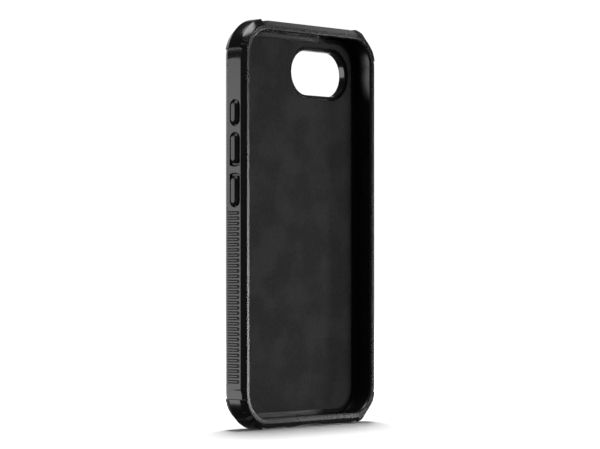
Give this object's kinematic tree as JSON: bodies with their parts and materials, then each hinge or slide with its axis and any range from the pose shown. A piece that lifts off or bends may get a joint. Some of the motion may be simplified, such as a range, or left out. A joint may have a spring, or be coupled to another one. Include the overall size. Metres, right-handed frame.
{
  "type": "phone case",
  "caption": "Rugged phone case: soft frame with a raised front lip, ribbed sides, corner bumpers, pressable button caps, camera ring and hard back.",
  "frame": {"origin": "under the middle of the case's box, at its lowest point as it stands upright", "axes": "+X to the right seen from the front, +Y from the front towards the back, +Z along the length towards the top"},
  "size_m": [0.0786, 0.0124, 0.1522],
  "materials": {
    "soft_frame": "satin",
    "hard_back": "fine matt texture",
    "lining_cloth": "short soft nap",
    "ring_plastic": "semi-gloss",
    "bumper_rubber": "semi-gloss",
    "button_caps": "satin"
  },
  "bodies": {
    "shell": {"frame": "soft_frame", "back_plate": "hard_back", "inner_lining": "lining_cloth", "camera_ring": "ring_plastic", "bumper_top_left": "bumper_rubber", "bumper_top_right": "bumper_rubber", "bumper_bottom_left": "bumper_rubber", "bumper_bottom_right": "bumper_rubber"},
    "action_button": {"action_button": "button_caps"},
    "volume_up_button": {"volume_up_button": "button_caps"},
    "volume_down_button": {"volume_down_button": "button_caps"},
    "side_button": {"side_button": "button_caps"}
  },
  "joints": [
    {"name": "action_press", "type": "slide", "parent": "shell", "child": "action_button", "axis": [1, 0, 0], "range_m": [0, 0.0004], "stiffness_N_per_m": 4000},
    {"name": "volume_up_press", "type": "slide", "parent": "shell", "child": "volume_up_button", "axis": [1, 0, 0], "range_m": [0, 0.0004], "stiffness_N_per_m": 4000},
    {"name": "volume_down_press", "type": "slide", "parent": "shell", "child": "volume_down_button", "axis": [1, 0, 0], "range_m": [0, 0.0004], "stiffness_N_per_m": 4000},
    {"name": "side_press", "type": "slide", "parent": "shell", "child": "side_button", "axis": [-1, 0, 0], "range_m": [0, 0.0004], "stiffness_N_per_m": 4000}
  ]
}
